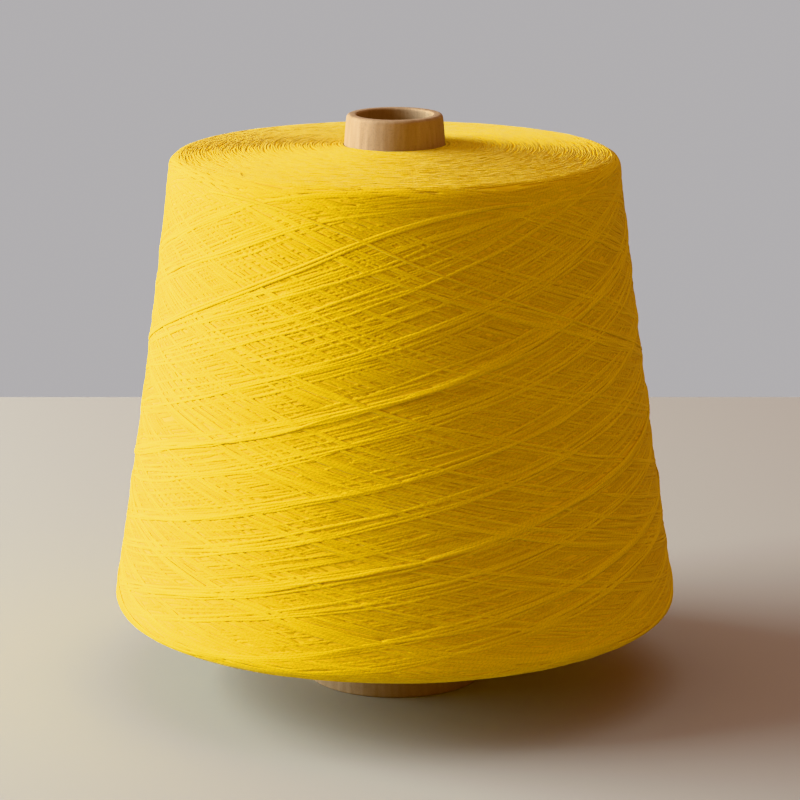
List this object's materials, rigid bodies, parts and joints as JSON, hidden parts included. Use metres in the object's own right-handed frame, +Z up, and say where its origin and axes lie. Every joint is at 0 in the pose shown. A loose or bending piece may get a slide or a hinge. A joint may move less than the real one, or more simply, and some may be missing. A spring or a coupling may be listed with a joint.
{
  "type": "cone of yarn",
  "caption": "Cross-wound cone of smooth yellow yarn on a tapered paper tube, open from end to end, standing on the tube's foot.",
  "frame": {"origin": "centre of the paper tube's foot, on the surface that it stands on", "axes": "+Z up along the tube's axis, towards its nose; -Y is the side that the picture shows"},
  "size_m": [0.167, 0.167, 0.17],
  "materials": {
    "paper_board": "matt brown paper board",
    "yarn": "smooth bright yellow spun yarn"
  },
  "bodies": {
    "root": {"paper_cone": "paper_board", "wound_yarn": "yarn"}
  },
  "joints": []
}
